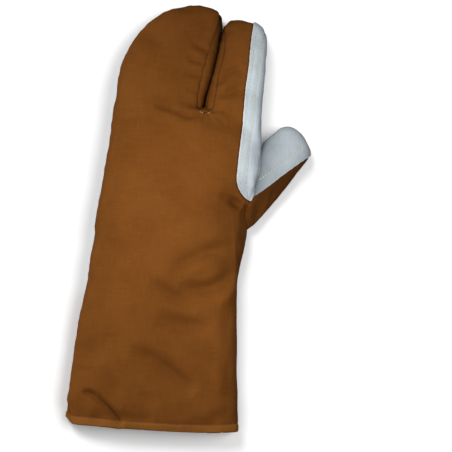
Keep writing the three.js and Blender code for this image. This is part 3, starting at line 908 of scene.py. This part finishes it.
def cotton_canvas(name, dark, light, worn_and_shaded):
    """Brown duck: a plain weave of uneven cotton threads, matt, with slubs along both of its threads."""
    cotton = new_material(name)
    times = {"operation": "MULTIPLY"}
    times_and_add = {"operation": "MULTIPLY_ADD"}
    scaled = {"operation": "SCALE"}
    at = add_node(cotton, "ShaderNodeAttribute", {"attribute_name": "thread"})
    place = add_node(cotton, "ShaderNodeVectorMath", scaled, _0=at.outputs["Vector"], Scale=1 / MM)
    stray = add_node(cotton, "ShaderNodeTexNoise", Vector=place.outputs[0], Scale=0.07, Detail=2)
    middle = add_node(
        cotton, "ShaderNodeVectorMath", {"operation": "SUBTRACT"}, _0=stray.outputs["Color"], _1=(0.5,) * 3
    )
    strayed = add_node(
        cotton, "ShaderNodeVectorMath", times_and_add,
        _0=middle.outputs[0], _1=(2.2, 2.2, 0), _2=place.outputs[0],
    )
    lie = strayed.outputs[0]
    along = 1 / SLUB_LENGTH
    across = 1 / CANVAS_THREAD
    slubs = []
    for scale in ((across * 0.8, along, 1), (along, across * 0.72, 1)):
        drawn = add_node(cotton, "ShaderNodeMapping", Vector=lie, Scale=scale)
        lie_of_slubs = drawn.outputs[0]
        slub = add_node(cotton, "ShaderNodeTexNoise", Vector=lie_of_slubs, Scale=1, Detail=3, Roughness=0.6)
        slubs.append(slub)
    turn = 3.14159 / CANVAS_THREAD
    split = add_node(cotton, "ShaderNodeSeparateXYZ", Vector=lie)
    threads = []
    for part in ("X", "Y"):
        angle = add_node(cotton, "ShaderNodeMath", times, _0=split.outputs[part], _1=turn)
        threads.append(add_node(cotton, "ShaderNodeMath", {"operation": "SINE"}, _0=angle.outputs[0]))
    sines = [made.outputs[0] for made in threads]
    weave = add_node(cotton, "ShaderNodeMath", times, _0=sines[0], _1=sines[1]).outputs[0]
    streaks = [made.outputs[0] for made in slubs]
    both = add_node(cotton, "ShaderNodeMath", {"operation": "ADD"}, _0=streaks[0], _1=streaks[1]).outputs[0]
    patchy = add_node(
        cotton, "ShaderNodeTexNoise", Vector=place.outputs[0], Scale=0.022, Detail=4, Roughness=0.55
    )
    lint = add_node(
        cotton, "ShaderNodeTexNoise", Vector=place.outputs[0], Scale=0.85, Detail=2, Roughness=0.6
    )
    tone = add_node(cotton, "ShaderNodeMath", times_and_add, _0=patchy.outputs[0], _1=1.6, _2=both)
    fuzz = add_node(cotton, "ShaderNodeMath", times_and_add, _0=lint.outputs[0], _1=0.8, _2=tone.outputs[0])
    fleck = add_node(cotton, "ShaderNodeMath", times_and_add, _0=weave, _1=0.12, _2=fuzz.outputs[0])
    spread = add_node(cotton, "ShaderNodeMapRange", Value=fleck.outputs[0], From_Min=1.15, From_Max=3.25)
    clean = add_node(
        cotton, "ShaderNodeMix", MIX_COLOURS, _0=spread.outputs[0], _6=linear(dark), _7=linear(light)
    )
    # This attribute darkens towards the worn colour: grime at the seams, and painted shade and painted shadow
    # elsewhere.
    grime_and_shade = add_node(cotton, "ShaderNodeAttribute", {"attribute_name": "grime_and_shade"})
    dirt_and_shade = add_node(
        cotton, "ShaderNodeMix", MIX_COLOURS, _0=grime_and_shade.outputs["Fac"], _6=clean.outputs[2], _7=linear(worn_and_shaded)
    )
    height = add_node(cotton, "ShaderNodeMath", times_and_add, _0=weave, _1=0.4, _2=both)
    bump = add_node(cotton, "ShaderNodeBump", Strength=0.5, Distance=0.0002, Height=height.outputs[0])
    shader = add_node(
        cotton, "ShaderNodeBsdfPrincipled", Roughness=0.95, Specular_IOR_Level=0.05,
        Base_Color=dirt_and_shade.outputs[2], Normal=bump.outputs[0],
    )
    add_node(cotton, "ShaderNodeOutputMaterial", Surface=shader.outputs[0])
    return cotton


brown_canvas = cotton_canvas("brown_cotton_canvas", "#5c320d", "#804e20", "#2c1607")


# Sewn pieces keep this much free of a seam on each side, and a lining stays this far above the table.
SEAM_ROOM = 0.08
LINING_LEVEL = 0.7
RAGGED_SIZE = 2.2
SHARP_EDGE = np.radians(50)
LAP_TURNS = np.radians([30, 60, 90, 120, 150])


def rim_of(faces):
    """The edges that only one face has, each in its face's own direction."""
    runs = {(a, b) for face in faces for a, b in zip(face, face[1:] + face[:1])}
    return [(a, b) for a, b in runs if (b, a) not in runs]


def shell(name, chosen, rise, thick, material, slot, grime_and_shade=None, on_thumb=False, ragged=0.0, rounded=0.0):
    """A sheet with thickness, made from chosen faces of the cut form. rise lifts its outer face off it."""
    used = np.unique(np.concatenate([face_points[i] for i in chosen]))
    place = np.full(len(surface), -1)
    place[used] = np.arange(len(used))
    faces = [[int(place[i]) for i in face_points[f]] for f in chosen]
    count = len(used)
    rim = sorted(rim_of(faces))
    on_rim = np.zeros(count, bool)
    on_rim[np.array(rim).ravel()] = True
    outer = surface[used] + normals[used] * rise[used][:, None]
    ends = np.array([(a, b) for face in faces for a, b in zip(face, face[1:] + face[:1])])
    ends = ends[~on_rim[ends[:, 1]] & on_rim[ends[:, 0]]]
    total, near = np.zeros_like(outer), np.zeros(count)
    np.add.at(total, ends[:, 0], outer[ends[:, 1]])
    np.add.at(near, ends[:, 0], 1)
    moved = near > 0
    inward = np.zeros_like(outer)
    inward[moved] = unit(total[moved] / near[moved][:, None] - outer[moved])
    back = np.full(count, SEAM_ROOM)
    if ragged:
        back = back + ragged * (0.5 + waves(outer, RAGGED_SIZE, 6))
    outer += inward * back[:, None]
    outer[:, 2] = np.maximum(outer[:, 2], 0)
    inner = outer - soft_normals[used] * thick
    inner[:, 2] = np.maximum(inner[:, 2], LINING_LEVEL)
    made_faces = [*faces, *[[i + count for i in reversed(face)] for face in faces]]
    layers = [outer, inner]
    order = [0, count]
    if rounded:
        rim_points = np.flatnonzero(on_rim)
        spot = np.full(count, -1)
        spot[rim_points] = np.arange(len(rim_points))
        middle, across = (outer + inner) / 2, (outer - inner) / 2
        for angle in LAP_TURNS:
            lap = middle + across * np.cos(angle) - inward * rounded * np.sin(angle)
            order.insert(-1, sum(len(layer) for layer in layers))
            layers.append(lap[rim_points])
        for first, second in zip(order, order[1:]):
            for a, b in rim:
                fa, fb = (a, b) if first == 0 else (spot[a], spot[b])
                sa, sb = (a, b) if second == count else (spot[a], spot[b])
                made_faces.append([int(first + fb), int(first + fa), int(second + sa), int(second + sb)])
        sources = [used, used] + [used[rim_points]] * len(LAP_TURNS)
    else:
        made_faces += [[b, a, a + count, b + count] for a, b in rim]
        sources = [used, used]
    made = new_object(name, np.vstack(layers), made_faces)
    made.data.polygons.foreach_set("use_smooth", [True] * len(made.data.polygons))
    made.data.set_sharp_from_angle(angle=SHARP_EDGE)
    sources = np.concatenate(sources)
    runs = (thumb_thread if on_thumb else thread)[sources] * MM
    attribute = made.data.attributes.new("thread", "FLOAT_VECTOR", "POINT")
    attribute.data.foreach_set("vector", np.column_stack([runs, np.zeros(len(runs))]).ravel())
    # Pieces without their own darkening take the seam grime. Those with it also carry painted shade.
    dark = at_seams if grime_and_shade is None else grime_and_shade
    attribute = made.data.attributes.new("grime_and_shade", "FLOAT", "POINT")
    attribute.data.foreach_set("value", dark[sources])
    if slot == "split_leather":
        rim_tree = KDTree(int(on_rim.sum()))
        for i in np.flatnonzero(on_rim):
            rim_tree.insert(outer[i], int(i))
        rim_tree.balance()
        to_rim = np.zeros(len(surface))
        to_rim[used] = [rim_tree.find(p)[2] for p in outer]
        attribute = made.data.attributes.new("raw_edge", "FLOAT", "POINT")
        attribute.data.foreach_set("value", to_rim[sources] * MM)
    made.data.materials.append(material)
    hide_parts(name)
    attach(made, "root")
    return made


def faces_of(name):
    return np.flatnonzero(face_owner == NAMES.index(name))


flat = np.zeros(len(surface))
# Besides its seam grime, the back panel is darkened with painted shade on the side wall by the thumb and in
# the folds, and with a painted shadow beside the leather strip's raw edge.
back_panel = shell(
    "back_panel", faces_of("back_panel"), flat, CANVAS_WALL, brown_canvas, "canvas",
    grime_and_shade=np.maximum.reduce([at_seams, wall_painted_shade, strip_edge_painted_shadow, fold_painted_shade]),
)


# Finger gusset
# A strip of the same canvas is let in between the finger pocket and the index finger. It is folded double
# at its root, where two bar tacks hold it, and the cloth puckers round them.
# Deep in the slit its canvas is darkened with painted shade.
finger_gusset = shell(
    "finger_gusset", faces_of("finger_gusset"), flat, CANVAS_WALL, brown_canvas, "canvas",
    grime_and_shade=np.maximum(at_seams, slit_painted_shade),
)


# Thumb back
# The back and outer side of the thumb is a second piece of the padded canvas, cut along the thumb. It is
# sewn to the back panel at the thumb's root and to the leather all round, with every seam turned in.
# Its canvas is darkened all over with painted shade, as the thumb lies low in the hand's shade, and with a
# painted shadow beside the leather patch's raw edge.
thumb_back = shell(
    "thumb_back", faces_of("thumb_back"), flat, CANVAS_WALL, brown_canvas, "canvas",
    grime_and_shade=np.maximum.reduce([at_seams, thumb_patch_edge_painted_shadow, flat + 0.48]), on_thumb=True,
)


# Cuff palm panel
# The underside of the cuff is padded canvas from the mouth to the wrist. Its upper end goes in under the
# raw edge of the leather palm, so it sinks a little there.
sunk = -0.9 * np.exp(-((wrist_gap / 7) ** 2))
cuff_palm_panel = shell(
    "cuff_palm_panel", faces_of("cuff_palm_panel"), sunk, CANVAS_WALL, brown_canvas, "canvas"
)


# Cuff hem
# The mouth's edge is turned in and sewn down in a hem 6 mm deep. The doubled cloth makes a firm rounded
# band that stands a little proud of the cuff, and rubbing has faded it.
HEM_LIFT = 0.55
HEM_WALL = CANVAS_WALL + 0.6
HEM_LAP = 1.3
proud = HEM_LIFT * (1 - np.exp(-((hem_gap / 1.0) ** 2)))
faded_canvas = cotton_canvas("faded_cotton_canvas", "#6b3e15", "#925e29", "#4a2a10")
shell("cuff_hem", faces_of("cuff_hem"), proud, HEM_WALL, faded_canvas, "canvas", rounded=HEM_LAP)


# Palm panel
# The palm is pale split cowhide from the finger tips to the wrist, where it ends in a raw edge, sewn down
# with two rows of yellowish thread. Wadding lies behind it, so the whole wall is 3 mm thick.
LEATHER_WALL = 3.0


def split_leather(name, dark, light, edge, worn_and_shaded):
    """Split cowhide: sueded on both faces, matt, with short fibres, a soft mottle and a pale raw edge."""
    hide = new_material(name)
    times_and_add = {"operation": "MULTIPLY_ADD"}
    scaled = {"operation": "SCALE"}
    at = add_node(hide, "ShaderNodeTexCoord")
    place = add_node(hide, "ShaderNodeVectorMath", scaled, _0=at.outputs["Object"], Scale=1 / MM).outputs[0]
    fibre = add_node(hide, "ShaderNodeTexNoise", Vector=place, Scale=0.75, Detail=5, Roughness=0.7)
    mottle = add_node(hide, "ShaderNodeTexNoise", Vector=place, Scale=0.05, Detail=3, Roughness=0.5)
    drawn = add_node(hide, "ShaderNodeMapping", Vector=place, Rotation=(0, 0, 0.5), Scale=(0.5, 0.12, 0.5))
    nap = add_node(hide, "ShaderNodeTexNoise", Vector=drawn.outputs[0], Scale=1, Detail=4, Roughness=0.65)
    mixed = add_node(
        hide, "ShaderNodeMath", times_and_add, _0=fibre.outputs[0], _1=0.55, _2=mottle.outputs[0]
    )
    tone = add_node(hide, "ShaderNodeMath", times_and_add, _0=nap.outputs[0], _1=0.5, _2=mixed.outputs[0])
    spread = add_node(hide, "ShaderNodeMapRange", Value=tone.outputs[0], From_Min=0.72, From_Max=1.32)
    clean = add_node(
        hide, "ShaderNodeMix", MIX_COLOURS, _0=spread.outputs[0], _6=linear(dark), _7=linear(light)
    )
    rim = add_node(hide, "ShaderNodeAttribute", {"attribute_name": "raw_edge"})
    shade = add_node(hide, "ShaderNodeMapRange", Value=rim.outputs["Fac"], From_Min=0.0002, From_Max=0.0010)
    raw = add_node(
        hide, "ShaderNodeMix", MIX_COLOURS, _0=shade.outputs[0], _6=linear(edge), _7=clean.outputs[2]
    )
    # This attribute darkens towards the worn colour: grime at the seams, and painted shade and painted shadow
    # elsewhere.
    grime_and_shade = add_node(hide, "ShaderNodeAttribute", {"attribute_name": "grime_and_shade"})
    dirt_and_shade = add_node(
        hide, "ShaderNodeMix", MIX_COLOURS, _0=grime_and_shade.outputs["Fac"], _6=raw.outputs[2], _7=linear(worn_and_shaded)
    )
    height = add_node(hide, "ShaderNodeMath", times_and_add, _0=nap.outputs[0], _1=0.8, _2=fibre.outputs[0])
    bump = add_node(hide, "ShaderNodeBump", Strength=0.6, Distance=0.0006, Height=height.outputs[0])
    shader = add_node(
        hide, "ShaderNodeBsdfPrincipled", Roughness=0.95, Specular_IOR_Level=0.2, Sheen_Weight=0.1,
        Sheen_Roughness=0.5, Base_Color=dirt_and_shade.outputs[2], Normal=bump.outputs[0],
    )
    add_node(hide, "ShaderNodeOutputMaterial", Surface=shader.outputs[0])
    return hide


palm_leather = split_leather("split_cowhide_palm", "#b9c4ca", "#d3dbe1", "#c4cacc", "#7d8589")
palm_panel = shell("palm_panel", faces_of("palm_panel"), flat, LEATHER_WALL, palm_leather, "split_leather")


# Thumb palm
# A leaf of the same split leather makes the palm side of the thumb. Its bowed inner edge is sewn into the
# palm, and its outer edge meets the canvas that wraps round from the back.
thumb_palm = shell(
    "thumb_palm", faces_of("thumb_palm"), flat, LEATHER_WALL, palm_leather, "split_leather", on_thumb=True
)


# Index side patch
# A strip of split leather is sewn flat on the canvas along the index finger's thumb side, where pans are
# gripped. Its inner edge is cut raw and held by two rows of stitches, and its outer edge is in the side
# seam.
PATCH_LIFT = 0.3
PATCH_LEATHER = 1.3
STRIP_OUTER_ROW = [
    (63, 166), (61.2, 155), (59.6, 141), (57.6, 124), (55, 106.5), (53.3, 90), (52.2, 71.5),
    (50.2, 58), (48.4, 42), (48, 33), (49.4, 26), (52, 21.5),
]
STRIP_INNER_ROW = [
    (70, 167), (67.5, 152.5), (65.7, 138), (64, 126.5), (62, 109), (61.4, 96.5), (60, 83), (58.2, 72.5),
    (56.4, 60.5), (55.3, 45.5), (53.8, 33), (54, 26),
]
THUMB_ROW = [(103.5, 62.5), (99.9, 59.8), (83.7, 46.3), (67.2, 34.5), (63.5, 31.5)]

patch_leather = split_leather("split_cowhide_patch", "#b1bbc1", "#ccd6dc", "#d9e0e3", "#666d70")


def patch_rise(rows):
    """How high a patch's outer face lies over the canvas. It thins at sewn seams and dips at stitches."""
    rise = PATCH_LIFT + PATCH_LEATHER * np.clip(0.6 + sewn_gap / 3, 0, 1)
    rise += 0.3 * np.exp(-((sewn_gap / 1.6) ** 2)) * step_up(surface[:, 1], 24, 40)
    for row in rows:
        distance, _, _ = from_line(surface, curve(row))
        rise -= 0.4 * np.exp(-((distance / 0.9) ** 2))
    return rise


def patch_shell(name, number, rows, grime_and_shade, on_thumb):
    """A patch from the faces marked with its number, with a slightly ragged raw edge."""
    return shell(
        name, np.flatnonzero(face_patch == number), patch_rise(rows), PATCH_LEATHER, patch_leather,
        "split_leather", grime_and_shade=grime_and_shade, on_thumb=on_thumb, ragged=0.35,
    )


strip_rows = [STRIP_OUTER_ROW, STRIP_INNER_ROW]
# Painted shade darkens the strip towards its lower end, over the dent beside it.
strip_end_painted_shade = 0.16 * (1 - step_up(surface[:, 1], 18, 40))
index_side_patch = patch_shell("index_side_patch", 1, strip_rows, at_seams * 0.3 + strip_end_painted_shade, False)


# Thumb back patch
# A second patch of split leather covers the upper half of the thumb's back and wraps over its tip. Its
# lower edge is cut straight and raw, with one row of stitches about 9 mm in from it.
# Painted shade darkens the patch a little all over, and much more towards the crook, where the hand shades
# it.
thumb_back_patch = patch_shell("thumb_back_patch", 2, [THUMB_ROW], 0.2 + 0.74 * crook_painted_shade**1.5, True)


# Stitches
# Lockstitches, 2.5 mm long and 3.2 mm apart, hold the patches, the wrist edge and the hem. Each one is
# a short rounded run of thread that dips into the leather or cloth at both of its ends.
STITCH_PITCH = 3.2
STITCH_LENGTH = 2.5
THREAD_RADIUS = 0.33
THREAD_SIDES = 6
# Five rings make a stitch. Those at its ends are thinner and sink in.
RING_SIZES = (0.55, 1, 1, 1, 0.55)
RING_LIFTS = (-0.8, 0.5, 0.8, 0.5, -0.8)


def sewing_thread(name, dark, light):
    """Twisted polyester sewing thread, with a slight gloss."""
    twist = new_material(name)
    at = add_node(twist, "ShaderNodeTexCoord")
    scaled = {"operation": "SCALE"}
    place = add_node(twist, "ShaderNodeVectorMath", scaled, _0=at.outputs["Object"], Scale=1 / MM)
    ply = add_node(twist, "ShaderNodeTexNoise", Vector=place.outputs[0], Scale=1.6, Detail=2)
    mixed = add_node(
        twist, "ShaderNodeMix", MIX_COLOURS, _0=ply.outputs[0], _6=linear(dark), _7=linear(light)
    )
    bump = add_node(twist, "ShaderNodeBump", Strength=0.5, Distance=0.0002, Height=ply.outputs[0])
    shader = add_node(
        twist, "ShaderNodeBsdfPrincipled", Roughness=0.6, Normal=bump.outputs[0], Base_Color=mixed.outputs[2]
    )
    add_node(twist, "ShaderNodeOutputMaterial", Surface=shader.outputs[0])
    return twist


def spaced(line, pitch, length):
    """Start, middle and end of each stitch along a plan line."""
    line = curve(line, 0.5)
    long = np.concatenate([[0], np.cumsum(np.linalg.norm(np.diff(line, axis=0), axis=1))])
    marks = np.arange(0.3, long[-1] - length, pitch)
    spots = [mark + length * np.linspace(0, 1, 5) for mark in marks]
    return [np.column_stack([np.interp(spot, long, line[:, k]) for k in (0, 1)]) for spot in spots]


def stitches(
    name, rows, carrier, material, from_below=False, radius=THREAD_RADIUS, length=STITCH_LENGTH
):
    """Rows of stitches laid on a piece, seen from above or from below."""
    tree = BVHTree.FromObject(carrier, bpy.context.evaluated_depsgraph_get())
    way = 1 if from_below else -1
    points, faces = [], []
    sides = THREAD_SIDES
    last = len(RING_SIZES) - 1
    for row in rows:
        for run in spaced(row, length + STITCH_PITCH - STITCH_LENGTH, length):
            hits = [tree.ray_cast(Vector((x, y, -way * 100)) * MM, Vector((0, 0, way))) for x, y in run]
            if any(h[0] is None for h in hits):
                continue
            centre = np.array([h[0] for h in hits]) / MM
            up = unit(np.array([h[1] for h in hits]))
            lift = radius * np.array(RING_LIFTS)
            centre = centre + up * lift[:, None]
            ahead = unit(np.gradient(centre, axis=0))
            beside = unit(np.cross(ahead, up))
            over = np.cross(beside, ahead)
            first = len(points)
            for k, full in enumerate(RING_SIZES):
                for i in range(sides):
                    angle = 2 * np.pi * i / sides
                    out = np.cos(angle) * beside[k] + np.sin(angle) * over[k]
                    points.append(centre[k] + radius * full * out)
            for k in range(last):
                for i in range(sides):
                    a, b = first + k * sides + i, first + k * sides + (i + 1) % sides
                    faces.append((a, b, b + sides, a + sides))
            faces.append(tuple(first + i for i in reversed(range(sides))))
            faces.append(tuple(first + last * sides + i for i in range(sides)))
    points = np.array(points)
    points[:, 2] = np.maximum(points[:, 2], 0)
    made = new_object(name, points, faces)
    made.data.polygons.foreach_set("use_smooth", [True] * len(faces))
    made.data.materials.append(material)
    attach(made, "root")
    return made


pale_thread = sewing_thread("pale_yellow_thread", "#b9b48e", "#e2dfc0")
brown_thread = sewing_thread("red_brown_thread", "#642d10", "#86421c")
mouth_edge = curve(MOUTH)
hem_row = [(x, np.interp(x, *mouth_edge.T) + HEM_DEPTH + 0.4) for x in np.linspace(-101, 40, 12)]
hem_row_under = [(x, y + 0.3) for x, y in hem_row]
wrist_rows = [[(x, wrist_line(x) + off) for x in np.linspace(-86, 22, 12)] for off in (2.4, 8.6)]
ROOT_TACKS = [[(12.4, 95), (14, 94), (15.6, 93.4)], [(19.4, 93.4), (21.2, 93.9), (22.8, 94.8)]]

stitches("strip_stitches", strip_rows, index_side_patch, pale_thread)
stitches("thumb_patch_stitches", [THUMB_ROW], thumb_back_patch, pale_thread)
stitches("hem_stitches", [hem_row], back_panel, brown_thread)
stitches("hem_stitches_under", [hem_row_under], cuff_palm_panel, brown_thread, from_below=True)
stitches("wrist_stitches", wrist_rows, palm_panel, pale_thread, from_below=True)
stitches("root_tacks", ROOT_TACKS, back_panel, pale_thread, radius=0.26, length=1.1)


# Finishing
# The construction form goes.
bpy.data.objects.remove(joined)
